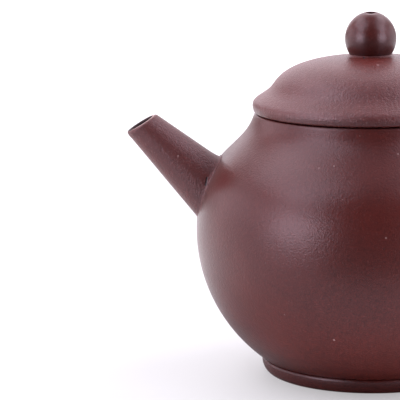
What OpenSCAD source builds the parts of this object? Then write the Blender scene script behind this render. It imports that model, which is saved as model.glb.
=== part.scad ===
// Round teapot of unglazed clay, with a straight spout, a looped handle and a lift-off lid with a ball knob.
// Millimetres. Z is the pot's axis, z = 0 is the table, and the spout points along -X.

/* [Belly] */
// Widest diameter of the belly
belly_d = 80.2; // [74:0.2:90]
// Height of the belly's widest line above the table
belly_z = 33; // [30:0.5:36]
// Thickness of the pot's wall
wall = 3; // [2.4:0.1:3.6]
// How long the side stays upright above its widest line
side_hold = 18.7; // [15:0.1:21]

/* [Neck and mouth] */
// Height of the mouth's rim, on which the lid rests
mouth_z = 60.2; // [58:0.1:66]
// Outer diameter of the neck at the mouth
neck_d = 53.2; // [49:0.2:57]
// Angle between the neck's side and the table
neck_slope = 78.6; // [70:0.1:86]
// How long the neck keeps that angle below the mouth
neck_hold = 9.1; // [7:0.1:11]
// Height of the ring that stiffens the mouth
mouth_ring_h = 3.2; // [2.4:0.1:4.2]
// Height of the shoulder piece under that ring
shoulder_h = 6; // [4:0.2:7]
// Bevel on the mouth's outer edge
mouth_bevel = 0.4; // [0.2:0.1:0.7]

/* [Foot and base] */
// Outer diameter of the foot ring
foot_d = 50.4; // [46:0.2:56]
// Height of the foot ring
foot_h = 3.5; // [3:0.1:5]
// Width of the clay in the foot ring
foot_w = 4; // [3.2:0.1:5]
// Rounding of the foot ring's lower outside edge
foot_round = 1.8; // [0.8:0.1:2.2]
// Rounding of the foot ring's other edges
foot_edge = 0.6; // [0.2:0.1:0.8]
// Step from the foot ring's outside in to the belly
foot_step = 0.2; // [0.1:0.1:0.6]
// Thickness of the base disc
base_t = 2.8; // [2.2:0.1:3.6]

/* [Lid] */
// Height of the lid above the mouth, without its knob
lid_h = 12.8; // [11:0.1:15]
// How far the lid's rim stands out past the neck
lid_overhang = 0.5; // [0.2:0.1:1.5]
// Height of the rim's widest line above the mouth
rim_band_h = 1.9; // [1.5:0.1:2.4]
// Angle by which the rim leans out, from the mouth up to that line
rim_lean = 13; // [4:1:18]
// Radius of the rim's underside edge
rim_under = 0.5; // [0.3:0.1:0.8]
// Angle by which the rim's nose leans in above that line
nose_lean = 20; // [10:1:30]
// Radius of the rim's rounded nose
rim_nose = 2.65; // [2:0.05:3]
// Slope of the brim between the nose and the dome
brim_slope = 34; // [28:0.5:40]
// Length of that straight brim
brim_len = 2.3; // [1:0.1:3.4]
// Radius of the hollow between the brim and the dome
cove_r = 7.4; // [5:0.1:9]
// Slope of the dome at its lower edge
dome_slope = 53; // [48:0.5:60]
// How far in from its edge the dome keeps rising
dome_shoulder = 3.6; // [3:0.1:6]
// Thickness of the dome
lid_wall = 3; // [2.4:0.1:3.6]
// Thickness of the rim board that carries the dome
board_t = 3; // [2.4:0.1:3.4]
// Depth of the flange that hangs into the mouth
flange_h = 8; // [5:0.2:12]
// Thickness of the flange
flange_t = 2.5; // [2:0.1:3.2]
// Gap between the flange and the mouth, all round
lid_clear = 0.3; // [0.2:0.05:0.6]

/* [Knob] */
// Widest diameter of the ball knob
knob_d = 11.7; // [10.4:0.1:14]
// Height of the knob above the dome
knob_h = 10.2; // [8.6:0.1:12]
// Diameter of the flat seat under the knob
knob_seat_d = 9; // [7:0.1:10]
// Diameter of the vent hole through the knob and the lid
vent_d = 2.3; // [1.6:0.1:3]

/* [Spout] */
// Height at which the spout's axis meets the belly
spout_z = 44.3; // [42:0.1:46]
// Length of the spout along its axis
spout_len = 20; // [15:0.5:26]
// Angle between the spout's axis and the table
spout_angle = 43.4; // [36:0.2:50]
// Outer diameter of the spout where its axis meets the belly
spout_root_d = 13.1; // [11.4:0.1:15]
// Outer diameter of the spout at its tip
spout_tip_d = 7.6; // [6.8:0.1:9]
// Angle between the lip's face and the table
lip_tilt = 31; // [24:0.5:46]
// Thickness of the clay at the lip
lip_wall = 1.1; // [0.8:0.1:1.4]
// Thickness of the clay at the spout's root
root_wall = 2; // [1.6:0.1:2.6]

/* [Strainer] */
// Thickness of the pierced strainer behind the spout
strainer_t = 1.6; // [1.2:0.1:2.2]
// Room between the spout's bore and the strainer's inside
strainer_room = 1.6; // [1.2:0.1:2.4]
// Diameter of the strainer's holes
strainer_hole_d = 2; // [1.4:0.1:2.4]
// Holes in the ring round the middle one
strainer_holes = 8; // [5:1:9]

/* [Handle] */
// How far below the mouth the handle leaves the shoulder
handle_below = 10.5; // [9:0.5:13]
// Height at which the handle meets the lower belly
handle_low_z = 21; // [18:0.5:25]
// How far the handle's centreline stands out from the widest line
handle_reach = 14; // [11:0.5:22]
// How far below the mouth the handle's outermost point lies
handle_out_below = 16.5; // [14:0.5:19]
// Thickness of the handle at its upper end
handle_top_d = 6.8; // [5.6:0.1:8]
// Thickness of the handle at its lower end
handle_low_d = 5; // [4.2:0.1:6.4]
// Angle at which the handle rises from the shoulder
handle_rise = 38; // [25:1:48]

/* [Hidden] */
$fn = 96;

// Colours of the burnished and the unburnished clay
clay = [0.42, 0.26, 0.26];
raw_clay = [0.36, 0.22, 0.21];
// Straight pieces that stand for each curve of an outline
steps = 24;
// Length by which a cutting shape runs past what it cuts
past = 1;

belly_r = belly_d / 2;
neck_r = neck_d / 2;
foot_r = foot_d / 2;
mouth_r = neck_r - wall;

// Levels of the flat joints, from the table up
base_top_z = foot_h + base_t;
ring_z = mouth_z - mouth_ring_h;
shoulder_z = ring_z - shoulder_h;
board_z = mouth_z + board_t;
lid_top_z = mouth_z + lid_h;

// A point at a polar angle round a centre
function polar(c, r, a) = c + r * [cos(a), sin(a)];

// Points along an arc and along a cubic curve with two end points and two handles
function arc(c, r, a0, a1) = [for (i = [0:steps]) polar(c, r, a0 + (a1 - a0) * i / steps)];
function cubic(p, t) =
  pow(1 - t, 3) * p[0] + 3 * t * pow(1 - t, 2) * p[1] + 3 * t * t * (1 - t) * p[2] + pow(t, 3) * p[3];
function curve(p) = [for (i = [1:steps]) cubic(p, i / steps)];

function reversed(list) = [for (i = [len(list) - 1:-1:0]) list[i]];

// Radius of an outline at a height, and the stretch of the outline between two heights, from the lower up
function radius_at(outline, z) = lookup(z, [for (p = outline) [p.y, p.x]]);
function stretch(outline, z0, z1) = concat(
  [[radius_at(outline, z0), z0]],
  [for (p = outline) if (p.y > z0 && p.y < z1) p],
  [[radius_at(outline, z1), z1]]
);

// Outline of the pot's outside or inside: an arc from the foot up to the widest line, then one curve
// to the mouth. Depth is how far the outline lies inside the pot's outside.
low_r = foot_r - foot_step;
low_arc_r = (pow(belly_r - low_r, 2) + pow(belly_z - foot_h, 2)) / (2 * (belly_r - low_r));
low_arc_turn = asin((belly_z - foot_h) / low_arc_r);
function side_outline(depth) =
  let (
    keep = 1 - depth / belly_r,
    widest = [belly_r - depth, belly_z],
    neck = [neck_r, mouth_z] - depth * [sin(neck_slope), cos(neck_slope)]
  )
  concat(
    arc([belly_r - low_arc_r, belly_z], low_arc_r - depth, -low_arc_turn, 0),
    curve([
      widest,
      widest + [0, side_hold * keep],
      neck + neck_hold * keep * [cos(neck_slope), -sin(neck_slope)],
      neck
    ])
  );
outside = side_outline(0);
inside = concat(side_outline(wall), [[mouth_r, mouth_z]]);

// Lid outline from its underside up: edge, band, nose, brim, hollow and dome
lid_r = neck_r + lid_overhang;
band_top = [lid_r, mouth_z + rim_band_h];
// Height of the straight part of the band, above its rounded edge
band_straight = rim_band_h - rim_under * (1 - sin(rim_lean));
edge_c = [lid_r - band_straight * tan(rim_lean) - rim_under * cos(rim_lean), mouth_z + rim_under];
nose_c = polar(band_top, rim_nose, 180 + nose_lean);
brim_low = polar(nose_c, rim_nose, 90 - brim_slope);
brim_top = polar(brim_low, brim_len, 180 - brim_slope);
cove_c = polar(brim_top, cove_r, 90 - brim_slope);
dome_edge = polar(cove_c, cove_r, -90 - dome_slope);
// How long the dome keeps its slope at its lower edge
dome_hold = 2;
lid_outside = concat(
  arc(edge_c, rim_under, -90, -rim_lean),
  arc(nose_c, rim_nose, nose_lean, 90 - brim_slope),
  arc(cove_c, cove_r, -90 - brim_slope, -90 - dome_slope),
  curve([
    dome_edge,
    polar(dome_edge, dome_hold, 180 - dome_slope),
    [dome_edge.x - dome_shoulder, lid_top_z],
    [0, lid_top_z]
  ])
);

// Hollow of the lid, from the flange's inside up to the middle
flange_r = mouth_r - lid_clear;
hollow_r = flange_r - flange_t;
hollow_top_z = lid_top_z - lid_wall;
lid_hollow = concat([[hollow_r, board_z]], curve([
  [hollow_r, board_z],
  [hollow_r, (board_z + hollow_top_z) / 2],
  [hollow_r - 2 * dome_shoulder, hollow_top_z],
  [0, hollow_top_z]
]));

// The dome is cut flat for the knob at the height where it is as wide as the knob's seat.
knob_seat_r = knob_seat_d / 2;
knob_z = lookup(-knob_seat_r, [for (p = lid_outside) [-p.x, p.y]]);

// Spout: the axis runs from the belly's outside to the tip.
spout_root = [-radius_at(outside, spout_z), 0, spout_z];
spout_taper = (spout_root_d - spout_tip_d) / 2 / spout_len;
bore_root_r = spout_root_d / 2 - root_wall;
bore_tip_r = spout_tip_d / 2 - lip_wall;
bore_taper = (bore_root_r - bore_tip_r) / spout_len;
// How far the spout runs on into the belly before the belly's outside cuts it off
spout_sink = spout_root_d;
// How far the spout runs on past its tip before the lip's face cuts it off
spout_spare = spout_tip_d;

// Strainer: a dome on the inside of the wall, round the point where the spout's axis comes through.
strainer_r = bore_root_r + strainer_room + strainer_t;
// How far the wall leans in at the spout, and how much of the spout's axis lies in the wall
wall_lean = atan2(radius_at(outside, spout_z - past) - radius_at(outside, spout_z + past), 2 * past);
wall_on_axis = wall / cos(spout_angle - wall_lean);
strainer_c = spout_root + wall_on_axis * [cos(spout_angle), 0, -sin(spout_angle)];
// Angle between the middle hole and the ring of holes round it
strainer_ring_angle = 40;

// Handle: two curves in the XZ plane that meet at the outermost point, swept by an oval section.
handle_sides = 16;
handle_top_z = mouth_z - handle_below;
handle_out_z = mouth_z - handle_out_below;
handle_top = [radius_at(outside, handle_top_z) - wall, handle_top_z];
handle_low = [radius_at(outside, handle_low_z) - wall, handle_low_z];
handle_out = [belly_r + handle_reach, handle_out_z];
handle_over = handle_out.x - handle_top.x;
handle_drop = handle_out_z - handle_low_z;
// Shares of the way over and of the drop for which the handle keeps its direction at its curves' ends
handle_top_hold = 0.62;
handle_crown_hold = 0.52;
handle_back_hold = 0.5;
handle_low_hold = 0.5;
// Angle at which the handle comes down to the lower belly
handle_fall = 13;
handle_route = concat(
  [handle_top],
  curve([
    handle_top,
    polar(handle_top, handle_over * handle_top_hold, handle_rise),
    handle_out + [0, handle_over * handle_crown_hold],
    handle_out
  ]),
  curve([
    handle_out,
    handle_out - [0, handle_drop * handle_back_hold],
    polar(handle_low, handle_drop * handle_low_hold, handle_fall),
    handle_low
  ])
);
// The section is this much wider across the handle than it is thick.
handle_oval = 1.12;

// Solids that are used to cut others

module pot_form() {
  rotate_extrude()
    polygon(concat([[0, foot_h]], outside, [[0, mouth_z]]));
}

module chamber_form() {
  rotate_extrude()
    polygon(concat([[0, base_top_z]], stretch(inside, base_top_z, mouth_z), [[0, mouth_z]]));
}

// Places a shape that stands along +Z on the spout's axis, with its foot on the belly's outside.
module on_spout() {
  translate(spout_root)
    rotate([0, spout_angle - 90, 0])
      children();
}

module spout_bore() {
  on_spout()
    translate([0, 0, -spout_sink])
      cylinder(
        h = spout_sink + spout_len + spout_spare,
        r1 = bore_root_r + bore_taper * spout_sink,
        r2 = bore_tip_r - bore_taper * spout_spare
      );
}

module vent_bore() {
  translate([0, 0, hollow_top_z - past])
    cylinder(h = lid_wall + knob_h + 2 * past, d = vent_d);
}

// Part of the pot's wall between two heights
module wall_band(z0, z1) {
  rotate_extrude()
    polygon(concat(stretch(outside, z0, z1), reversed(stretch(inside, z0, z1))));
}

module belly_wall() {
  color(clay)
    difference() {
      wall_band(base_top_z, shoulder_z);
      spout_bore();
    }
}

module shoulder_disc() {
  color(clay)
    difference() {
      wall_band(shoulder_z, ring_z);
      spout_bore();
    }
}

module mouth_ring() {
  bevel_z = mouth_z - mouth_bevel;
  color(clay)
    rotate_extrude()
      polygon(concat(
        stretch(outside, ring_z, bevel_z),
        [[neck_r - mouth_bevel, mouth_z], [mouth_r, mouth_z], [mouth_r, ring_z]]
      ));
}

module base_disc() {
  color(raw_clay)
    rotate_extrude()
      polygon(concat([[0, foot_h]], stretch(outside, foot_h, base_top_z), [[0, base_top_z]]));
}

module foot_ring() {
  inner_r = foot_r - foot_w;
  color(clay)
    rotate_extrude()
      polygon(concat(
        [[inner_r, foot_h], [inner_r, foot_edge], [inner_r + foot_edge, 0]],
        arc([foot_r - foot_round, foot_round], foot_round, -90, 0),
        arc([foot_r - foot_edge, foot_h - foot_edge], foot_edge, 0, 90)
      ));
}

module spout() {
  lip_side = 4 * spout_root_d;
  color(clay)
    difference() {
      on_spout()
        difference() {
          translate([0, 0, -spout_sink])
            cylinder(
              h = spout_sink + spout_len + spout_spare,
              r1 = spout_root_d / 2 + spout_taper * spout_sink,
              r2 = spout_tip_d / 2 - spout_taper * spout_spare
            );
          translate([0, 0, spout_len])
            rotate([0, 90 - spout_angle - lip_tilt, 0])
              translate([0, 0, lip_side / 2])
                cube(lip_side, center = true);
        }
      spout_bore();
      pot_form();
    }
}

// One hole of the strainer, tilted away from the middle by an angle and then turned round it by another
module strainer_hole(tilt, turn) {
  rotate([0, 180 - tilt, turn])
    translate([0, 0, strainer_r - strainer_t - past])
      cylinder(h = strainer_t + 2 * past, d = strainer_hole_d);
}

module strainer() {
  color(raw_clay)
    intersection() {
      chamber_form();
      translate(strainer_c)
        rotate([0, wall_lean - 90, 0])
          difference() {
            sphere(strainer_r);
            sphere(strainer_r - strainer_t);
            strainer_hole(0, 0);
            for (i = [1:strainer_holes])
              strainer_hole(strainer_ring_angle, i * 360 / strainer_holes);
          }
    }
}

// One ring of the handle's section, square to its route
function handle_ring(i) =
  let (
    last = len(handle_route) - 1,
    ahead = handle_route[min(i + 1, last)] - handle_route[max(i - 1, 0)],
    across = [-ahead.y, ahead.x] / norm(ahead),
    r = (handle_top_d + (handle_low_d - handle_top_d) * i / last) / 2,
    p = handle_route[i]
  )
  [
    for (k = [0:handle_sides - 1])
      let (
        a = 360 * k / handle_sides,
        q = p + across * r * cos(a)
      )
      [q.x, r * handle_oval * sin(a), q.y]
  ];

module handle() {
  last = len(handle_route) - 1;
  n = handle_sides;
  points = [for (i = [0:last]) each handle_ring(i)];
  side_faces = [
    for (i = [0:last - 1])
      for (k = [0:n - 1])
        let (
          a = i * n + k,
          b = i * n + (k + 1) % n
        )
        each [[a, b, b + n], [a, b + n, a + n]]
  ];
  end_faces = [[for (k = [n - 1:-1:0]) k], [for (k = [0:n - 1]) last * n + k]];
  color(clay)
    difference() {
      polyhedron(points, concat(side_faces, end_faces));
      pot_form();
    }
}

module lid_dome() {
  color(clay)
    difference() {
      rotate_extrude()
        polygon(concat(
          stretch(lid_outside, board_z, knob_z),
          [[0, knob_z]],
          reversed(lid_hollow)
        ));
      vent_bore();
    }
}

module lid_rim() {
  color(clay)
    rotate_extrude()
      polygon(concat(
        stretch(lid_outside, mouth_z, board_z),
        [[hollow_r, board_z], [hollow_r, mouth_z]]
      ));
}

module lid_flange() {
  color(raw_clay)
    translate([0, 0, mouth_z - flange_h])
      difference() {
        cylinder(h = flange_h, r = flange_r);
        translate([0, 0, -past])
          cylinder(h = flange_h + 2 * past, r = hollow_r);
      }
}

module knob() {
  ball_r = knob_d / 2;
  // Share of the ball's half height that lies between its widest line and its seat
  sink = sqrt(1 - pow(knob_seat_r / ball_r, 2));
  half_h = knob_h / (1 + sink);
  color(clay)
    difference() {
      translate([0, 0, knob_z])
        rotate_extrude()
          polygon(concat(
            [[0, 0]],
            [for (p = arc([0, 0], 1, -asin(sink), 90)) [ball_r * p.x, half_h * (p.y + sink)]]
          ));
      vent_bore();
    }
}

belly_wall();
shoulder_disc();
mouth_ring();
base_disc();
foot_ring();
spout();
strainer();
handle();
lid_dome();
lid_rim();
lid_flange();
knob();
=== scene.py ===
"""Round clay teapot: turned and luted clay pieces with a burnished finish, on a pale floor in soft light."""
import math
from bisect import bisect_right
from functools import lru_cache, partial

import bmesh
import bpy
from mathutils import Matrix, Vector
from mathutils.geometry import interpolate_bezier


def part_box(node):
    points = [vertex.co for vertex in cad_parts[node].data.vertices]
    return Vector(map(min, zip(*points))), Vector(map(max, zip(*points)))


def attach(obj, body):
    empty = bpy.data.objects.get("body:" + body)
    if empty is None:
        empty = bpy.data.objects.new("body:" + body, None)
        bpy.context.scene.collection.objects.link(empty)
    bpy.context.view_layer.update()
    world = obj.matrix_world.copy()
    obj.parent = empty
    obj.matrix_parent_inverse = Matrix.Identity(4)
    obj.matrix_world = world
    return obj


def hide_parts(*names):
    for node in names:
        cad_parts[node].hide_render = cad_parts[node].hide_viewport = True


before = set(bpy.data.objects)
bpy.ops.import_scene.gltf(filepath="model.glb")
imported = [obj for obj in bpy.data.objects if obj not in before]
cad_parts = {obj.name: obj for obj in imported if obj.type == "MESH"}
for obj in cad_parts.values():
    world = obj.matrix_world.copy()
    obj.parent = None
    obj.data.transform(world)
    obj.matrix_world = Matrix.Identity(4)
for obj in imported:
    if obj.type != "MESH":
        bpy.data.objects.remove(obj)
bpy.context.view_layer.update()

MM = 0.001

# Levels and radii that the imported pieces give, in metres
belly_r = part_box("belly_wall")[1].y
base_top_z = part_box("belly_wall")[0].z
shoulder_z, ring_z = (corner.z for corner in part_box("shoulder_disc"))
mouth_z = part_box("mouth_ring")[1].z
foot_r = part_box("foot_ring")[1].y
foot_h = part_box("foot_ring")[1].z
board_z, knob_z = (corner.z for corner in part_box("lid_dome"))
lid_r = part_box("lid_rim")[1].x
flange_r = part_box("lid_flange")[1].y
flange_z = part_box("lid_flange")[0].z
knob_top_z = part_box("knob")[1].z

# Shape of the pot's side
wall = 3 * MM
belly_z = 33 * MM
side_hold = 18.7 * MM
neck_r = 26.6 * MM
neck_slope = math.radians(78.6)
neck_hold = 9.1 * MM
foot_step = 0.2 * MM
mouth_r = neck_r - wall
mouth_round = 0.6 * MM

# Shape of the foot ring. A hold is the share of a size over which a curve keeps its direction
foot_w = 4 * MM
foot_edge = 0.6 * MM
foot_under = 1.7 * MM
foot_under_hold = 0.45
foot_bulge_z = 2.75 * MM
foot_bulge_hold = 0.58

# Shape of the lid. Slopes and leans are in degrees
lid_top_z = mouth_z + 12.8 * MM
rim_band_h = 1.9 * MM
rim_lean = 13
rim_under = 0.5 * MM
rim_gap = 0.22 * MM
rim_gap_w = 1.2 * MM
rim_crease = 0.8 * MM
rim_crease_hold = 0.6
nose_lean = 20
rim_nose = 2.65 * MM
brim_slope = 34
brim_len = 2.3 * MM
cove_r = 7.4 * MM
dome_slope = 53
dome_hold = 2 * MM
dome_shoulder = 3.6 * MM
lid_wall = 3 * MM
flange_t = 2.5 * MM
flange_edge = 0.7 * MM
hollow_r = flange_r - flange_t
hollow_top_z = lid_top_z - lid_wall

# Shape of the knob, its vent, and the low fillet of clay round its seat
knob_r = 5.85 * MM
knob_seat_r = 4.5 * MM
vent_r = 1.15 * MM
vent_edge = 0.05 * MM
vent_edge_hold = 0.7
vent_dip = 0.28 * MM
vent_dip_w = 1.2 * MM
vent_dip_h = 1 * MM
fillet_h = 0.5 * MM
fillet_w = 2.2 * MM
fillet_bite = 0.03 * MM
fillet_hold = 0.55
fillet_lean = Vector((0.6 * fillet_h, -0.45 * fillet_h))

# Shape of the spout
spout_z = 44.3 * MM
spout_len = 20 * MM
spout_angle = math.radians(43.4)
spout_root_r = 6.55 * MM
spout_tip_r = 3.8 * MM
lip_tilt = math.radians(31)
lip_wall = 1.1 * MM
root_wall = 2 * MM
bore_past = 0.4 * MM
# How far the lip's rounding reaches down the outside, down the bore, and from the bore to its crest
lip_out_h = 0.6 * MM
lip_pour_h = 1.9 * MM
lip_in_h = 0.35 * MM
lip_in_w = 0.4 * MM
# Size of the luted seam along the belly and up the spout: at the sides, its gain on top, its loss below
seam_out, seam_out_gain, seam_out_loss = 0.6 * MM, 1 * MM, 0.15 * MM
seam_up, seam_up_gain, seam_up_loss = 0.7 * MM, 2.5 * MM, 0.4 * MM
# Outline of the luted seam in shares of its size: how far out along the belly, and how far up the spout
SEAM = [(0.62, -0.25), (0.52, -0.02), (0.46, 0.05), (0.4, 0.065), (0.34, 0.045), (0.27, 0.05), (0.2, 0.1),
        (0.13, 0.2), (0.07, 0.38), (0.03, 0.6), (0, 0.9)]

# Shape of the handle, which flares where it meets the belly
handle_top_z = mouth_z - 10.5 * MM
handle_low_z = 21 * MM
handle_out = Vector((belly_r + 13.98 * MM, mouth_z - 16.5 * MM))
handle_top_r = 3.4 * MM
handle_low_r = 2.5 * MM
handle_oval = 1.12
handle_rise = math.radians(38)
handle_rise_hold = 0.62
handle_fall = math.radians(13)
handle_crown_hold = 0.52
handle_back_hold = 0.5
flare = 0.42
flare_reach = 2.2 * MM

# Sides of each round piece
AROUND = 192
SPOUT_AROUND = 224
HANDLE_AROUND = 64
BORE_AROUND = 96
# Straight pieces that stand for a curve of an outline, from the longest curves to the smallest roundings
BALL = 96
CURVE = 72
BEND = 24
FILLET = 16
CORNER = 12
EDGE = 8
# Rings along the spout's wall and its bore, and degrees between those over its lip
WALL_RINGS = 40
BORE_RINGS = 24
LIP_STEP = 10
# Halvings that find where the spout meets the belly
HALVINGS = 40
# Points closer than this are one
MERGE = 0.0005 * MM
# Edges sharper than this stay crisp
CRISP = math.radians(35)


def polar(centre, radius, angle):
    """A point of an outline at an angle in degrees round a centre."""
    turn = math.radians(angle)
    return Vector(centre) + radius * Vector((math.cos(turn), math.sin(turn)))


def arc(centre, radius, start, end, steps=CURVE):
    """Points of an outline along an arc, between two angles in degrees."""
    return [polar(centre, radius, start + (end - start) * i / steps) for i in range(steps + 1)]


def curve(start, start_handle, end_handle, end, steps=CURVE):
    """Points of an outline along a curve with a handle at each end."""
    return interpolate_bezier(start, start_handle, end_handle, end, steps + 1)


def radius_at(outline, z):
    """Radius of a rising outline at a height."""
    above = bisect_right(outline, z, 1, len(outline) - 1, key=lambda p: p.y)
    low, high = outline[above - 1], outline[above]
    return low.x + (high.x - low.x) * (z - low.y) / (high.y - low.y)


def between(outline, low_z, high_z):
    """The stretch of a rising outline between two heights."""
    apart = 0.01 * MM
    ends = [Vector((radius_at(outline, z), z)) for z in (low_z, high_z)]
    return [ends[0], *(p for p in outline if low_z + apart < p.y < high_z - apart), ends[1]]


def side_outline(depth):
    """Outline of the pot's side from the foot to the mouth, some depth inside its outside."""
    keep = 1 - depth / belly_r
    low_step = belly_r - (foot_r - foot_step)
    low_rise = belly_z - foot_h
    low_r = (low_step ** 2 + low_rise ** 2) / (2 * low_step)
    low_turn = math.degrees(math.asin(low_rise / low_r))
    widest = Vector((belly_r - depth, belly_z))
    neck = Vector((neck_r, mouth_z)) - depth * Vector((math.sin(neck_slope), math.cos(neck_slope)))
    down_neck = Vector((math.cos(neck_slope), -math.sin(neck_slope)))
    lower = arc((belly_r - low_r, belly_z), low_r - depth, -low_turn, 0)
    upper = curve(widest, widest + Vector((0, side_hold * keep)), neck + neck_hold * keep * down_neck, neck)
    return lower + upper[1:]


outside = side_outline(0)
inside = side_outline(wall) + [Vector((mouth_r, mouth_z))]


def placed(name, bm):
    """Turns a shaped mesh into an object of the scene."""
    mesh = bpy.data.meshes.new(name)
    bm.to_mesh(mesh)
    bm.free()
    made = bpy.data.objects.new(name, mesh)
    bpy.context.scene.collection.objects.link(made)
    return made


def finished(name, bm, body):
    """Closes a shaped mesh, turns its faces out and makes it a piece that rides on a body."""
    bmesh.ops.remove_doubles(bm, verts=bm.verts, dist=MERGE)
    bmesh.ops.recalc_face_normals(bm, faces=bm.faces)
    for face in bm.faces:
        face.smooth = True
    piece = placed(name, bm)
    piece.data.set_sharp_from_angle(angle=CRISP)
    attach(piece, body)
    return piece


def spun(points, steps, closed=False):
    """A line of points spun once round the pot's axis. A closed line joins its last point to its first."""
    bm = bmesh.new()
    corners = [bm.verts.new(p) for p in points]
    for pair in zip(corners, corners[1:]):
        bm.edges.new(pair)
    if closed:
        bm.edges.new((corners[-1], corners[0]))
    bmesh.ops.spin(
        bm, geom=bm.verts[:] + bm.edges[:], cent=(0, 0, 0), axis=(0, 0, 1),
        angle=math.tau, steps=steps, use_merge=True,
    )
    return bm


def turned(name, outline, body, closed=True):
    """A piece turned once round the pot's axis. Its outline stays open where both ends lie on the axis."""
    return finished(name, spun([(p.x, 0, p.y) for p in outline], AROUND, closed), body)


def tube(rows, around, place):
    """A tube of rings. Each point goes where its row and its angle round the tube place it."""
    near = 0.001
    digits = 5
    bm = spun([(1, 0, row) for row in range(rows)], around)
    bmesh.ops.remove_doubles(bm, verts=bm.verts, dist=near)
    for vert in bm.verts:
        vert.co = place(round(vert.co.z), round(math.atan2(vert.co.y, vert.co.x), digits))
    return bm


def cut(piece, tool):
    """Cuts a tool's shape out of a piece and throws the tool away."""
    bite = piece.modifiers.new("cut", "BOOLEAN")
    bite.operation = "DIFFERENCE"
    bite.solver = "EXACT"
    bite.object = tool
    shaped = bpy.data.meshes.new_from_object(piece.evaluated_get(bpy.context.evaluated_depsgraph_get()))
    piece.modifiers.clear()
    piece.data = shaped
    bpy.data.objects.remove(tool)


# Pot's wall, base and foot

def wall_band(name, low_z, high_z):
    """A band of the pot's wall between two heights."""
    outline = between(outside, low_z, high_z) + between(inside, low_z, high_z)[::-1]
    return turned(name, outline, "pot")


belly = wall_band("belly", base_top_z, shoulder_z)
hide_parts("belly_wall")

shoulder = wall_band("shoulder", shoulder_z, ring_z)
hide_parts("shoulder_disc")


def mouth_outline():
    """Top of the pot's wall, with both edges of the mouth rounded."""
    edge_z = mouth_z - mouth_round
    return [
        *between(outside, ring_z, mouth_z - 2 * mouth_round),
        *arc((neck_r - mouth_round, edge_z), mouth_round, 0, 90, EDGE),
        *arc((mouth_r + mouth_round, edge_z), mouth_round, 90, 180, EDGE),
        Vector((mouth_r, ring_z)),
    ]


mouth = turned("mouth", mouth_outline(), "pot")
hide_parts("mouth_ring")

base = turned(
    "base",
    [Vector((0, foot_h)), *between(outside, foot_h, base_top_z), Vector((0, base_top_z))],
    "pot", closed=False,
)
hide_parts("base_disc")


def foot_outline():
    """Foot ring with a rounded top edge, a bulging side that turns under, and a flat face to stand on."""
    inner_r = foot_r - foot_w
    side = Vector((foot_r, foot_bulge_z))
    flat_end = Vector((foot_r - foot_under, 0))
    under = curve(
        flat_end, flat_end + Vector((foot_under_hold * foot_under, 0)),
        side - Vector((0, foot_bulge_hold * foot_bulge_z)), side, BEND,
    )
    top_r = foot_h - foot_bulge_z
    top = arc((foot_r - top_r, foot_bulge_z), top_r, 0, 90, CORNER)
    inner = arc((inner_r + foot_edge, foot_edge), foot_edge, 180, 270, EDGE)
    return [Vector((inner_r, foot_h)), *inner, *under, *top[1:]]


foot = turned("foot", foot_outline(), "pot")
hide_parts("foot_ring")


# Spout, from its seam on the belly round its lip and back down its bore

spout_way = Vector((-math.cos(spout_angle), 0, math.sin(spout_angle)))
spout_over = Vector((math.sin(spout_angle), 0, math.cos(spout_angle)))
spout_side = Vector((0, 1, 0))
spout_root = Vector((-radius_at(outside, spout_z), 0, spout_z))
spout_taper = (spout_root_r - spout_tip_r) / spout_len
bore_root_r = spout_root_r - root_wall
bore_taper = (bore_root_r - (spout_tip_r - lip_wall)) / spout_len
lip_normal = Vector((-math.sin(lip_tilt), 0, math.cos(lip_tilt)))


def outward(turn):
    """Direction square to the spout's axis at an angle round it. Angle 0 is its upper side."""
    return spout_over * math.cos(turn) + spout_side * math.sin(turn)


def spout_point(along, turn):
    """A point of the spout's plain cone."""
    return spout_root + spout_way * along + outward(turn) * (spout_root_r - spout_taper * along)


def outside_belly(point):
    """How far a point lies outside the belly."""
    return math.hypot(point.x, point.y) - radius_at(outside, point.z)


def belly_normal(point):
    """The way the belly faces at a point."""
    step = 0.1 * MM
    lean = (radius_at(outside, point.z + step) - radius_at(outside, point.z - step)) / (2 * step)
    across = Vector((point.x, point.y, 0)).normalized()
    return (across - Vector((0, 0, lean))).normalized()


@lru_cache(maxsize=None)
def seam(turn):
    """How far along its axis the spout's cone meets the belly, at an angle round it."""
    low, high = -2 * spout_root_r, 2 * spout_root_r
    for _ in range(HALVINGS):
        middle = (low + high) / 2
        if outside_belly(spout_point(middle, turn)) < 0:
            low = middle
        else:
            high = middle
    return low


def lip(turn, radius=None):
    """How far along its axis the spout meets the lip's face, at an angle and at a radius, or on its cone."""
    rise = spout_way.dot(lip_normal)
    tilt = outward(turn).dot(lip_normal)
    if radius is None:
        return (spout_len * rise - spout_root_r * tilt) / (rise - spout_taper * tilt)
    return spout_len - radius * tilt / rise


def seam_size(turn):
    """Sizes of the seam, out along the belly and up the spout: full above the spout and tight below it."""
    above = max(0, math.cos(turn))
    below = max(0, -math.cos(turn))
    out_size = seam_out + seam_out_gain * above - seam_out_loss * below
    up_size = seam_up + seam_up_gain * above - seam_up_loss * below
    return out_size, up_size


def seam_point(out, up, turn):
    """A point of the luted seam, from where the spout's cone meets the belly."""
    meeting = spout_point(seam(turn), turn)
    normal = belly_normal(meeting)
    away = outward(turn)
    away = (away - normal * away.dot(normal)).normalized()
    climb = (spout_way - outward(turn) * spout_taper).normalized()
    out_size, up_size = seam_size(turn)
    return meeting + away * out * out_size + climb * up * up_size


def lip_round(turn):
    """How far down the outside the lip's rounding reaches: further on the pouring side."""
    pouring = max(0, -math.cos(turn))
    return lip_out_h + (lip_pour_h - lip_out_h) * pouring ** 2


def wall_point(share, turn):
    """A point of the spout's outside, some share of the way from its seam to its lip."""
    start = seam(turn) + SEAM[-1][1] * seam_size(turn)[1]
    end = lip(turn) - lip_round(turn)
    return spout_point(start + (end - start) * share, turn)


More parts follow.
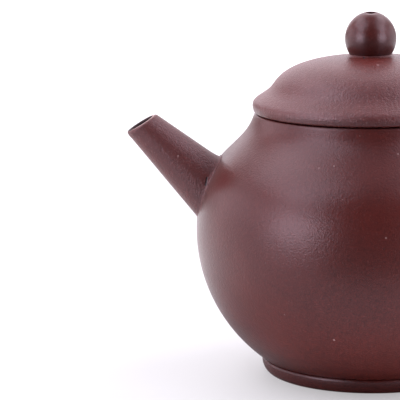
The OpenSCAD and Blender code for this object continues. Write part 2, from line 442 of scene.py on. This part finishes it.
def lip_point(angle, turn):
    """A point of the lip's rounded edge, from the outside over the top and into the bore."""
    climb = math.sin(math.radians(angle))
    across = math.cos(math.radians(angle))
    round_h = lip_round(turn)
    outer_r = spout_root_r - spout_taper * (lip(turn) - round_h)
    crest_r = outer_r - lip_wall + lip_in_w
    if across > 0:
        radius = crest_r + (outer_r - crest_r) * across
        drop = round_h * (1 - climb)
    else:
        radius = crest_r + lip_in_w * across
        drop = lip_in_h * (1 - climb)
    return spout_root + spout_way * (lip(turn, radius) - drop) + outward(turn) * radius


def bore_point(share, turn):
    """A point of the spout's bore, some share of the way from its lip to just past the belly's outside."""
    start = lip(turn, spout_tip_r - lip_wall) - lip_in_h
    end = seam(turn) - bore_past
    along = start + (end - start) * share
    return spout_root + spout_way * along + outward(turn) * (bore_root_r - bore_taper * along)


def spout_piece():
    """The spout as one tube of rings, closed where its bore ends behind the seam."""
    rings = [partial(seam_point, out, up) for out, up in SEAM]
    rings += [partial(wall_point, i / WALL_RINGS) for i in range(1, WALL_RINGS + 1)]
    rings += [partial(lip_point, angle) for angle in range(LIP_STEP, 180, LIP_STEP)]
    rings += [partial(bore_point, i / BORE_RINGS) for i in range(BORE_RINGS + 1)]
    bm = tube(len(rings), SPOUT_AROUND, lambda row, turn: rings[row](turn))
    ends = [edge for edge in bm.edges if edge.is_boundary]
    bmesh.ops.bridge_loops(bm, edges=ends)
    return finished("spout_clay", bm, "pot")


spout = spout_piece()
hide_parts("spout")


def bore_tool():
    """A cone along the spout's bore, long enough to pass through the wall."""
    reach = 3 * wall
    bm = bmesh.new()
    turn_to_spout = spout_way.to_track_quat("Z", "Y").to_matrix().to_4x4()
    bmesh.ops.create_cone(
        bm, cap_ends=True, segments=BORE_AROUND, depth=2 * reach,
        radius1=bore_root_r + bore_taper * reach, radius2=bore_root_r - bore_taper * reach,
        matrix=Matrix.Translation(spout_root) @ turn_to_spout,
    )
    return placed("bore_tool", bm)


cut(belly, bore_tool())


# Handle, swept along two curves that meet at its outermost point

def handle_route():
    """Middle line of the handle, from inside the wall near the mouth to inside the wall low on the belly."""
    top = Vector((radius_at(outside, handle_top_z) - wall, handle_top_z))
    low = Vector((radius_at(outside, handle_low_z) - wall, handle_low_z))
    over = handle_out.x - top.x
    drop = handle_out.y - low.y
    rising = Vector((math.cos(handle_rise), math.sin(handle_rise)))
    falling = Vector((math.cos(handle_fall), math.sin(handle_fall)))
    crown = curve(
        top, top + handle_rise_hold * over * rising,
        handle_out + Vector((0, handle_crown_hold * over)), handle_out,
    )
    back = curve(
        handle_out, handle_out - Vector((0, handle_back_hold * drop)),
        low + handle_back_hold * drop * falling, low,
    )
    return crown + back[1:]


def handle_piece():
    """The handle's oval section swept along its route. It tapers downwards and flares at both ends."""
    route = handle_route()
    last = len(route) - 1

    def place(row, turn):
        centre = route[row]
        ahead = (route[min(row + 1, last)] - route[max(row - 1, 0)]).normalized()
        clear = max(0, outside_belly(Vector((centre.x, 0, centre.y))))
        radius = handle_top_r + (handle_low_r - handle_top_r) * row / last
        radius *= 1 + flare * math.exp(-clear / flare_reach)
        across = radius * math.cos(turn)
        return Vector((
            centre.x - ahead.y * across,
            radius * handle_oval * math.sin(turn),
            centre.y + ahead.x * across,
        ))

    bm = tube(len(route), HANDLE_AROUND, place)
    bmesh.ops.holes_fill(bm, edges=[edge for edge in bm.edges if edge.is_boundary])
    return finished("handle_loop", bm, "pot")


handle = handle_piece()
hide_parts("handle")


# Lid

def lid_outline():
    """Outside of the lid from its seat up: raised edge, band, crease, nose, brim, cove and dome."""
    band_top = Vector((lid_r, mouth_z + rim_band_h))
    lean = math.radians(rim_lean)
    band_straight = rim_band_h - rim_gap - rim_under * (1 - math.sin(lean))
    edge_c = Vector((
        lid_r - band_straight * math.tan(lean) - rim_under * math.cos(lean), mouth_z + rim_gap + rim_under
    ))
    seat = Vector((edge_c.x - rim_gap_w, mouth_z))
    nose_c = polar(band_top, rim_nose, 180 + nose_lean)
    nose_start = nose_lean + math.degrees(rim_crease / rim_nose)
    below_crease = polar(band_top, rim_crease, -90 - rim_lean)
    above_crease = polar(nose_c, rim_nose, nose_start)
    crease = curve(
        below_crease, below_crease.lerp(band_top, rim_crease_hold),
        above_crease.lerp(band_top, rim_crease_hold), above_crease, CORNER,
    )
    brim_low = polar(nose_c, rim_nose, 90 - brim_slope)
    brim_top = polar(brim_low, brim_len, 180 - brim_slope)
    cove_c = polar(brim_top, cove_r, 90 - brim_slope)
    dome_edge = polar(cove_c, cove_r, -90 - dome_slope)
    return [
        seat,
        *arc(edge_c, rim_under, -90, -rim_lean, CORNER),
        *crease,
        *arc(nose_c, rim_nose, nose_start, 90 - brim_slope, BEND)[1:],
        *arc(cove_c, cove_r, -90 - brim_slope, -90 - dome_slope, BEND),
        *curve(
            dome_edge, polar(dome_edge, dome_hold, 180 - dome_slope),
            Vector((dome_edge.x - dome_shoulder, lid_top_z)), Vector((0, lid_top_z)),
        )[1:],
    ]


lid_outside = lid_outline()
lid_hollow = curve(
    Vector((hollow_r, board_z)), Vector((hollow_r, (board_z + hollow_top_z) / 2)),
    Vector((hollow_r - 2 * dome_shoulder, hollow_top_z)), Vector((vent_r, hollow_top_z)),
)

rim = turned(
    "rim",
    [*between(lid_outside, mouth_z, board_z), Vector((hollow_r, board_z)), Vector((hollow_r, mouth_z))],
    "lid",
)
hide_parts("lid_rim")


def knob_ball():
    """Side of the ball knob from its flat seat to the edge of its vent."""
    sink = math.sqrt(1 - (knob_seat_r / knob_r) ** 2)
    half_h = (knob_top_z - knob_z) / (1 + sink)
    low = -math.asin(sink)
    high = math.acos((vent_r + vent_edge) / knob_r)
    return [
        Vector((knob_r * math.cos(a), knob_z + half_h * (math.sin(a) + sink)))
        for a in (low + (high - low) * i / BALL for i in range(BALL + 1))
    ]


def dome_outline():
    """Lid from its board up, with a low fillet of clay round the knob's seat, and down through its hollow."""
    start = next(p for p in lid_outside if p.x < knob_seat_r + fillet_w)
    end_z = knob_z + fillet_h
    end = Vector((radius_at(knob_ball(), end_z) - fillet_bite, end_z))
    seat = Vector((knob_seat_r, knob_z))
    fillet = curve(start, start.lerp(seat, fillet_hold), end + fillet_lean, end, FILLET)
    return [
        *between(lid_outside, board_z, start.y),
        *fillet[1:],
        seat,
        Vector((vent_r, knob_z)),
        *lid_hollow[::-1],
    ]


dome = turned("dome", dome_outline(), "lid")
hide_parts("lid_dome")


def flange_outline():
    """Wall under the lid's board, with both of its lower edges rounded."""
    low = flange_z + flange_edge
    return [
        Vector((hollow_r, mouth_z)),
        *arc((hollow_r + flange_edge, low), flange_edge, 180, 270, EDGE),
        *arc((flange_r - flange_edge, low), flange_edge, -90, 0, EDGE),
        Vector((flange_r, mouth_z)),
    ]


flange = turned("flange", flange_outline(), "lid")
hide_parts("lid_flange")


def knob_outline():
    """Ball knob with a flat seat and a small rounded edge round its vent."""
    ball = knob_ball()
    top = ball[-1]
    low_edge = Vector((vent_r, top.y - vent_edge))
    hold = vent_edge_hold * vent_edge
    edge = curve(top, top - Vector((hold, 0)), low_edge + Vector((0, hold)), low_edge, EDGE)
    return ball + edge[1:] + [Vector((vent_r, knob_z))]


def wear_vent(piece):
    """Lowers the front of the vent's lip a little, as wear would."""
    for vert in piece.data.vertices:
        if vert.co.z > knob_top_z - vent_dip_h:
            away = math.hypot(vert.co.x, vert.co.y)
            front = max(0, -vert.co.y / away)
            vert.co.z -= vent_dip * front ** 2 * max(0, 1 - (away - vent_r) / vent_dip_w)


knob = turned("ball_knob", knob_outline(), "lid")
wear_vent(knob)
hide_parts("knob")


# Finishes

# Dark and light colour of each clay
FIRED = (0.03, 0.0038, 0.0028, 1), (0.068, 0.011, 0.0086, 1)
RUBBED = (0.037, 0.0047, 0.0035, 1), (0.083, 0.0134, 0.0105, 1)
POLISHED = (0.026, 0.0033, 0.0024, 1), (0.059, 0.0095, 0.0074, 1)
# The bore's clay, painted dark: painted shade inside the spout
BORE_SHADE = (0.012, 0.003, 0.0025, 1), (0.022, 0.006, 0.005, 1)
RAW = (0.055, 0.011, 0.009, 1), (0.085, 0.02, 0.017, 1)
# Colours of pale grains and painted glints, of the painted highlight on the spout's lip, of the painted sheen
# round the spout's root, of pits painted dark with shade, and the tint of the gloss
PALE_GRAIN_AND_GLINT = (0.3, 0.2, 0.2, 1)
LIP_HIGHLIGHT = (0.42, 0.3, 0.28, 1)
SPOUT_SHEEN = (0.075, 0.042, 0.04, 1)
PIT = (0.008, 0.002, 0.0018, 1)
GLOSS_TINT = (0.97, 0.89, 1, 1)
CLAY_IOR = 1.5

# Noises in the clay: how fine they are per metre, their detail, and what each one adds to the tone
CLOUD, CLOUD_TONE = (65, 3), (-0.12, 0.12)
MOTTLE, MOTTLE_TONE = (1100, 2), (-0.12, 0.12)
GRAIN, GRAIN_TONE = (2600, 2), (0.25, 0.75)
NOISE_RANGE = (0.3, 0.7)
NOISE_ROUGHNESS = 0.6
# How high the mottle stands beside the grain, and how far the roughness goes up and down with the tone
MOTTLE_H = 0.6
ROUGHNESS_SWING = 0.04

# Spots in the clay: cells per metre, a spot's radius, the share of cells that have one, and their strength
PALE_SPOTS, PALE_STRENGTH = (240, 0.2 * MM, 0.14), 0.3
# Fine pale spots in place of glints of the gloss: painted glints
GLINT_SPOTS = (1500, 0.24 * MM, 0.3)
# Pits are painted near black, as painted shade inside them, and dip a little in the bump
PIT_SPOTS, PIT_STRENGTH = (300, 0.22 * MM, 0.12), 0.5
PIT_DEPTH = 0.08 * MM
SPECK_STRENGTH = 0.45
# Painted sheen round the spout's root: the belly there is painted paler and greyer in place of gloss. Painted
# highlight along the spout's lip: its top is painted pale
SPOUT_SHEEN_R, SPOUT_SHEEN_STRENGTH = 15 * MM, 0.65
LIP_HIGHLIGHT_DEPTH, LIP_HIGHLIGHT_STRENGTH = 0.06 * MM, 0.8

# Mineral grains and flaws that show by themselves, in millimetres: where they are, and their radius
POT_SPECKS = [((0.51, -39.69, 38.55), 0.25), ((-10.32, -33.69, 14.84), 0.3), ((3.9, -29.09, 54.95), 0.25),
              ((-13.24, -29.31, 52.13), 0.2), ((-10.02, -29.99, 52.64), 0.2)]
LID_SPECKS = [((0.84, -11.31, 72.17), 0.45)]
# Pits on the lid by the knob's seat, painted dark with shade
LID_PITS = [((-1.84, -4.81, 73.07), 0.3), ((-1.85, -5.03, 72.97), 0.32), ((-1.86, -5.4, 72.88), 0.28)]
SPOUT_SPECKS = [((-44.07, -5.22, 51.21), 0.25)]
# Slit in the luted seam, as a row of pits painted dark with shade
SLIT_TOP = Vector((-37.58, -6.2, 46.23))
SLIT_END = Vector((-37.89, -6.56, 44.68))
SLIT_STEPS = 8
SLIT_R = 0.3
SLIT_PITS = [(SLIT_TOP.lerp(SLIT_END, i / SLIT_STEPS), SLIT_R) for i in range(SLIT_STEPS + 1)]


def node(tree, kind, inputs=None, **settings):
    """Adds a node, sets it up, and fills its inputs with values or with other nodes' outputs."""
    made = tree.nodes.new(kind)
    for key, value in settings.items():
        setattr(made, key, value)
    for key, value in (inputs or {}).items():
        if isinstance(value, bpy.types.NodeSocket):
            tree.links.new(value, made.inputs[key])
        else:
            made.inputs[key].default_value = value
    return made


def spread(tree, value, low, high, to_low, to_high):
    """Turns one range of a value into another, and keeps it inside."""
    return node(
        tree, "ShaderNodeMapRange",
        {"Value": value, "From Min": low, "From Max": high, "To Min": to_low, "To Max": to_high},
    ).outputs["Result"]


def mixed(tree, share, first, second):
    """Colour between two others. The sockets go by number, because a mix node's names repeat."""
    return node(tree, "ShaderNodeMix", {0: share, 6: first, 7: second}, data_type="RGBA").outputs[2]


def maths(tree, operation, first, second):
    """Result of a sum on two values or outputs."""
    return node(tree, "ShaderNodeMath", {0: first, 1: second}, operation=operation).outputs[0]


def times(tree, first, second):
    """Product of two values or outputs."""
    return maths(tree, "MULTIPLY", first, second)


def noise(tree, place, scale, detail):
    """Soft noise of a fineness."""
    return node(
        tree, "ShaderNodeTexNoise",
        {"Vector": place, "Scale": scale, "Detail": detail, "Roughness": NOISE_ROUGHNESS},
    ).outputs["Fac"]


def spots(tree, place, scale, size, share):
    """Small round spots, one in some of the cells of a cell pattern: 1 in a spot and 0 beside it."""
    core = 0.5
    fade = 1.02
    cells = node(tree, "ShaderNodeTexVoronoi", {"Vector": place, "Scale": scale})
    chosen = node(tree, "ShaderNodeSeparateColor", {"Color": cells.outputs["Color"]}).outputs["Red"]
    near = spread(tree, cells.outputs["Distance"], core * size * scale, size * scale, 1, 0)
    return times(tree, near, spread(tree, chosen, 1 - share, fade - share, 0, 1))


def mark(tree, place, at, radius):
    """One small round mark at a place on the pot: 1 in the middle and 0 outside it."""
    core = 0.4
    away = node(tree, "ShaderNodeVectorMath", {0: place, 1: at}, operation="DISTANCE").outputs["Value"]
    return spread(tree, away, core * radius, radius, 1, 0)


def in_metres(marks):
    """Marks that are given in millimetres, in metres."""
    return [(Vector(at) * MM, radius * MM) for at, radius in marks]


def lip_highlight_share(tree, place):
    """How strongly the painted highlight whitens the spout's lip: most at its top, and not at all a little
    below.
    """
    level = node(
        tree, "ShaderNodeVectorMath", {0: place, 1: lip_normal}, operation="DOT_PRODUCT"
    ).outputs["Value"]
    lip_level = (spout_root + spout_way * spout_len).dot(lip_normal)
    return spread(tree, level, lip_level - LIP_HIGHLIGHT_DEPTH, lip_level, 0, LIP_HIGHLIGHT_STRENGTH)


def clay(name, colours, gloss, roughness, grain_h, glint_strength, specks=(), pits=(), painted_lip_highlight=False, luted=False):
    """Unglazed clay: cloudy colour, fine grain, pale specks, painted glints, and small pits painted dark with
    shade.

    With the painted lip highlight the top of the spout's lip is painted pale, and luted clay gets a painted
    sheen round the spout's root, a paler, greyer belly in place of gloss.
    """
    material = bpy.data.materials.new(name)
    material.use_nodes = True
    tree = material.node_tree
    tree.nodes.clear()
    place = node(tree, "ShaderNodeTexCoord").outputs["Object"]

    cloud = noise(tree, place, *CLOUD)
    mottle = noise(tree, place, *MOTTLE)
    grain = noise(tree, place, *GRAIN)
    tone = maths(
        tree, "ADD",
        spread(tree, cloud, *NOISE_RANGE, *CLOUD_TONE), spread(tree, mottle, *NOISE_RANGE, *MOTTLE_TONE),
    )
    tone = maths(tree, "ADD", tone, spread(tree, grain, *NOISE_RANGE, *GRAIN_TONE))
    colour = mixed(tree, spread(tree, tone, 0, 1, 0, 1), *colours)

    pale = times(tree, spots(tree, place, *PALE_SPOTS), PALE_STRENGTH)
    # Painted glints: fine pale spots stand in for glints of the gloss
    pale = maths(tree, "MAXIMUM", pale, times(tree, spots(tree, place, *GLINT_SPOTS), glint_strength))
    for at, radius in in_metres(specks):
        pale = maths(tree, "MAXIMUM", pale, times(tree, mark(tree, place, at, radius), SPECK_STRENGTH))
    # Pale grains, specks and painted glints lighten the colour
    colour = mixed(tree, pale, colour, PALE_GRAIN_AND_GLINT)
    # Pits: painted shade, near black, with a small dip in the bump below
    hollow = times(tree, spots(tree, place, *PIT_SPOTS), PIT_STRENGTH)
    for at, radius in in_metres(pits):
        hollow = maths(tree, "MAXIMUM", hollow, mark(tree, place, at, radius))
    colour = mixed(tree, hollow, colour, PIT)
    # Painted sheen: the belly round the spout's root is painted paler and greyer, in place of gloss
    if luted:
        spout_sheen = times(tree, mark(tree, place, spout_root, SPOUT_SHEEN_R), SPOUT_SHEEN_STRENGTH)
        colour = mixed(tree, spout_sheen, colour, SPOUT_SHEEN)
    # Painted highlight: the top of the spout's lip is painted pale
    if painted_lip_highlight:
        colour = mixed(tree, lip_highlight_share(tree, place), colour, LIP_HIGHLIGHT)

    height = maths(tree, "ADD", times(tree, mottle, MOTTLE_H * grain_h), times(tree, grain, grain_h))
    height = maths(tree, "SUBTRACT", height, times(tree, hollow, PIT_DEPTH))
    bump = node(tree, "ShaderNodeBump", {"Height": height, "Distance": 1, "Strength": 1})
    rough = spread(tree, tone, 0, 1, roughness + ROUGHNESS_SWING, roughness - ROUGHNESS_SWING)
    shader = node(
        tree, "ShaderNodeBsdfPrincipled",
        {"Base Color": colour, "Roughness": rough, "Normal": bump.outputs["Normal"],
         "IOR": CLAY_IOR, "Specular IOR Level": gloss, "Specular Tint": GLOSS_TINT},
    )
    node(tree, "ShaderNodeOutputMaterial", {"Surface": shader.outputs["BSDF"]})
    return material


# The belly's clay, with the painted sheen round the spout's root
burnished = clay(
    "burnished_clay", FIRED, gloss=0.36, roughness=0.31, grain_h=0.06 * MM, glint_strength=0.03,
    specks=POT_SPECKS, luted=True,
)
polished = clay("polished_clay", POLISHED, gloss=0.38, roughness=0.32, grain_h=0.03 * MM, glint_strength=0.03)
rubbed = clay(
    "rubbed_clay", RUBBED, gloss=0.54, roughness=0.37, grain_h=0.14 * MM, glint_strength=0.14,
    specks=LID_SPECKS, pits=LID_PITS,
)
# The spout's and handle's clay, with the painted highlight on the spout's lip
smoothed = clay(
    "smoothed_clay", RUBBED, gloss=0.46, roughness=0.42, grain_h=0.13 * MM, glint_strength=0.07,
    specks=SPOUT_SPECKS, pits=SLIT_PITS, painted_lip_highlight=True,
)
raw = clay("raw_clay", RAW, gloss=0.36, roughness=0.6, grain_h=0.05 * MM, glint_strength=0.04)
# The bore's clay: painted shade inside the spout
bore_shade = clay("bore_shade_clay", BORE_SHADE, gloss=0.3, roughness=0.55, grain_h=0.05 * MM, glint_strength=0.01)

# Faces that look in to the axis or down more than this stay raw
LOOKS_IN = -0.3
LOOKS_DOWN = -0.97


def finish_clay(piece, finish):
    """Gives a piece its finish, and leaves raw what looks in to the axis or lies flat underneath."""
    piece.data.materials.clear()
    piece.data.materials.append(finish)
    piece.data.materials.append(raw)
    for face in piece.data.polygons:
        across = face.center.xy.normalized().dot(face.normal.xy)
        if across < LOOKS_IN or face.normal.z < LOOKS_DOWN:
            face.material_index = 1


def shade_bore(piece):
    """Paints the faces of the spout that look in to its axis dark: painted shade inside the bore."""
    piece.data.materials.append(bore_shade)
    for face in piece.data.polygons:
        away = face.center - spout_root
        if (away - spout_way * away.dot(spout_way)).dot(face.normal) < 0:
            face.material_index = 1


for piece in (belly, shoulder, mouth, foot):
    finish_clay(piece, burnished)
finish_clay(knob, polished)
for piece in (dome, rim):
    finish_clay(piece, rubbed)
finish_clay(base, burnished)
finish_clay(flange, raw)
for piece in (spout, handle):
    piece.data.materials.append(smoothed)
shade_bore(spout)
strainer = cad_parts["strainer"]
strainer.data.materials.clear()
strainer.data.materials.append(raw)


# Floor, light and camera

# Colours of the floor as it is seen, and as it throws light back on the clay
FLOOR = (0.24, 0.25, 0.255, 1)
BOUNCE = (0.75, 0.8, 0.77, 1)
FLOOR_GLOW = (1, 0.98, 1, 1)
FLOOR_ROUGHNESS = 0.6
FLOOR_HALF = 4
FLOOR_DROP = 0.02 * MM
# Glow of the floor over the distance from the pot's axis, in metres: from, to, and the glow at each
SWEEP = (0.25, 0.6, 0.4, 1)
RING_RISE = (0.035, 0.05, 0, 1)
RING_FALL = (0.06, 0.1, 2.3, 0)
MIRRORED = (0.045, 0.11, 0, 0.88)
# The same over the depth of the scene: what the pot mirrors is darker in front
MIRRORED_BACK = (-0.1, -0.02, 0.2, 1)


def flat_sheet(name, half, place):
    """A flat, level square."""
    bm = bmesh.new()
    bmesh.ops.create_grid(bm, x_segments=1, y_segments=1, size=half, matrix=Matrix.Translation(place))
    return placed(name, bm)


def floor():
    """A plain pale floor that glows further out, as a lit sweep does.

    A ring round the foot throws light back on the clay alone. The gloss mirrors the floor as dark close to
    the pot and in front of it, and as bright further out.
    """
    plane = flat_sheet("floor", FLOOR_HALF, (0, 0, -FLOOR_DROP))
    material = bpy.data.materials.new("pale_floor")
    material.use_nodes = True
    tree = material.node_tree
    tree.nodes.clear()
    place = node(tree, "ShaderNodeTexCoord").outputs["Object"]
    away = node(tree, "ShaderNodeVectorMath", {0: place}, operation="LENGTH").outputs["Value"]
    depth = node(tree, "ShaderNodeSeparateXYZ", {0: place}).outputs["Y"]
    ray = node(tree, "ShaderNodeLightPath").outputs
    ring = times(tree, spread(tree, away, *RING_RISE), spread(tree, away, *RING_FALL))
    bounce = times(tree, ray["Is Diffuse Ray"], ring)
    plain = spread(tree, away, *SWEEP)
    mirrored = times(tree, spread(tree, depth, *MIRRORED_BACK), spread(tree, away, *MIRRORED))
    seen = node(
        tree, "ShaderNodeMix", {"Factor": ray["Is Glossy Ray"], "A": plain, "B": mirrored}
    ).outputs["Result"]
    shader = node(
        tree, "ShaderNodeBsdfPrincipled",
        {"Base Color": mixed(tree, ray["Is Diffuse Ray"], FLOOR, BOUNCE), "Roughness": FLOOR_ROUGHNESS,
         "Emission Color": FLOOR_GLOW, "Emission Strength": maths(tree, "ADD", seen, bounce)},
    )
    node(tree, "ShaderNodeOutputMaterial", {"Surface": shader.outputs["BSDF"]})
    plane.data.materials.append(material)


floor()

DARK = (0.01, 0.01, 0.01, 1)
CARD_HALF = 0.3
CARD_PLACE = (0, -0.41, 0.5 * MM)


def dark_card():
    """A dark card in front of the pot, outside the picture, that the pot mirrors as a tent's open front."""
    card = flat_sheet("dark_card", CARD_HALF, CARD_PLACE)
    card.visible_camera = False
    card.visible_diffuse = False
    card.visible_shadow = False
    material = bpy.data.materials.new("dark_card")
    material.use_nodes = True
    material.node_tree.nodes["Principled BSDF"].inputs["Base Color"].default_value = DARK
    card.data.materials.append(material)


dark_card()

LIGHT_COLOUR = (1, 0.93, 1)
LIGHT_AIM = Vector((0, 0, 40 * MM))


def soft_box(name, azimuth, elevation, distance, width, tall, glow, lights="both"):
    """A soft box that faces the pot and lights its clay, gloss or both. Azimuth 90 is the handle's side."""
    light = bpy.data.lights.new(name, "AREA")
    light.shape = "RECTANGLE"
    light.size = width
    light.size_y = tall
    light.energy = math.pi * width * tall * glow
    light.color = LIGHT_COLOUR
    lamp = bpy.data.objects.new(name, light)
    turn, rise = math.radians(azimuth), math.radians(elevation)
    towards = Vector((math.sin(turn) * math.cos(rise), -math.cos(turn) * math.cos(rise), math.sin(rise)))
    lamp.location = LIGHT_AIM + distance * towards
    lamp.rotation_euler = towards.to_track_quat("Z", "Y").to_euler()
    lamp.visible_camera = False
    lamp.visible_diffuse = lights != "gloss"
    lamp.visible_glossy = lights != "clay"
    bpy.context.scene.collection.objects.link(lamp)


# Distances of the boxes. One hides another in the same plane, so those for gloss or clay alone hang nearer
FAR = 0.7
NEAR = 0.69
NEAREST = 0.68
BACK = 0.8

# A tent of soft boxes that is open towards the camera
soft_box("left_key", -54, 10, FAR, 0.42, 0.32, 0.5)
soft_box("left_sheen", -54, 10, NEAR, 0.42, 0.32, 7.1, "gloss")
soft_box("left_fill", -62, 36, NEAR, 0.4, 0.28, 2.6, "gloss")
soft_box("left_low", -106, 14, FAR, 0.72, 0.36, 2.1)
soft_box("left_high", -86, 55, FAR, 0.8, 0.42, 3.7)
soft_box("left_wash", -112, 28, NEAREST, 0.6, 0.6, 4.4, "clay")
soft_box("right_key", 51, 10, FAR, 0.42, 0.32, 0.5)
soft_box("right_sheen", 51, 10, NEAR, 0.42, 0.32, 6.9, "gloss")
soft_box("right_fill", 62, 36, NEAR, 0.4, 0.28, 3.8, "gloss")
soft_box("right_low", 106, 14, FAR, 0.72, 0.36, 2)
soft_box("right_high", 92, 54, FAR, 0.9, 0.4, 3.1)
soft_box("right_wash", 112, 28, NEAREST, 0.6, 0.6, 3.8, "clay")
soft_box("back_wall", 180, 36, BACK, 1.1, 1.05, 1.85)
soft_box("overhead", 0, 84, FAR, 0.6, 0.4, 0.5)
soft_box("top_wash", 0, 78, NEAREST, 0.8, 0.6, 2.2, "clay")

# A white background that the pot neither mirrors nor is lit by
world = bpy.data.worlds.new("studio")
world.use_nodes = True
world.node_tree.nodes["Background"].inputs["Color"].default_value = (1, 1, 1, 1)
world.cycles_visibility.diffuse = False
world.cycles_visibility.glossy = False
bpy.context.scene.world = world
bpy.context.scene.view_settings.view_transform = "Standard"

CAMERA_PLACE = Vector((-37.389, -537.258, 138.325)) * MM
CAMERA_YAW = math.radians(0.196)
CAMERA_PITCH = math.radians(10.3668)
CAMERA_ROLL = math.radians(-0.7452)
# Focal length and width of the film, in millimetres
FOCAL_LENGTH = 213.818
FILM_WIDTH = 36


def camera():
    """Camera with a long lens, a little above the pot and off to the spout's side."""
    flat = math.cos(CAMERA_PITCH)
    ahead = Vector((-math.sin(CAMERA_YAW) * flat, math.cos(CAMERA_YAW) * flat, -math.sin(CAMERA_PITCH)))
    level = Vector((math.cos(CAMERA_YAW), math.sin(CAMERA_YAW), 0))
    over = level.cross(ahead)
    right = level * math.cos(CAMERA_ROLL) + over * math.sin(CAMERA_ROLL)
    up = over * math.cos(CAMERA_ROLL) - level * math.sin(CAMERA_ROLL)
    lens = bpy.data.cameras.new("camera")
    lens.sensor_width = FILM_WIDTH
    lens.lens = FOCAL_LENGTH
    made = bpy.data.objects.new("camera", lens)
    made.matrix_world = Matrix.Translation(CAMERA_PLACE) @ Matrix((right, up, -ahead)).transposed().to_4x4()
    bpy.context.scene.collection.objects.link(made)
    bpy.context.scene.camera = made


camera()
